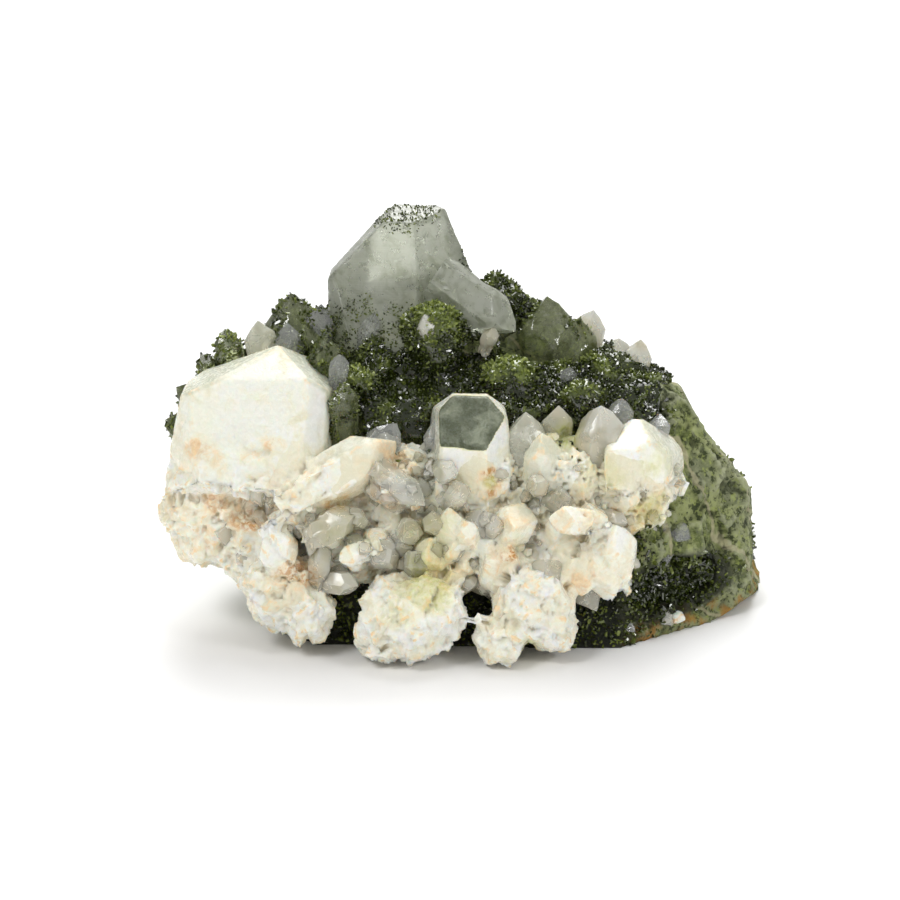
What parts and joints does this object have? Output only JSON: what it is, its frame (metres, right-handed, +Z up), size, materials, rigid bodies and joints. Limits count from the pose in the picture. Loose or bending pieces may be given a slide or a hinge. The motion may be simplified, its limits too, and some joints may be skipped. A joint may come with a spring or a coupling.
{
  "type": "epidote quartz cluster",
  "caption": "Hand specimen of milky and clear quartz points with a crust of dark green epidote crystals on green host rock, resting on its flat underside.",
  "frame": {"origin": "on the flat underside of the host rock, which the specimen rests on, near its middle", "axes": "+Z up, +X to the right along the longest extent as seen from the side with the milky quartz, which faces -Y"},
  "size_m": [0.1133, 0.0761, 0.0724],
  "materials": {
    "host_rock": "rough broken green epidote rock with pale veins and a rusty edge",
    "milky_quartz": "milky to translucent quartz, stained peach and orange in its hollows",
    "clear_quartz": "clear grey quartz with green inclusions",
    "epidote": "glossy dark olive to pistachio green small crystals"
  },
  "bodies": {
    "root": {"host_rock": "host_rock", "milky_quartz_front": "milky_quartz", "large_clear_quartz": "clear_quartz", "left_quartz_points": "clear_quartz", "back_quartz_points": "clear_quartz", "right_quartz_points": "clear_quartz", "epidote_crust": "epidote", "pocket_epidote": "epidote"}
  },
  "joints": []
}
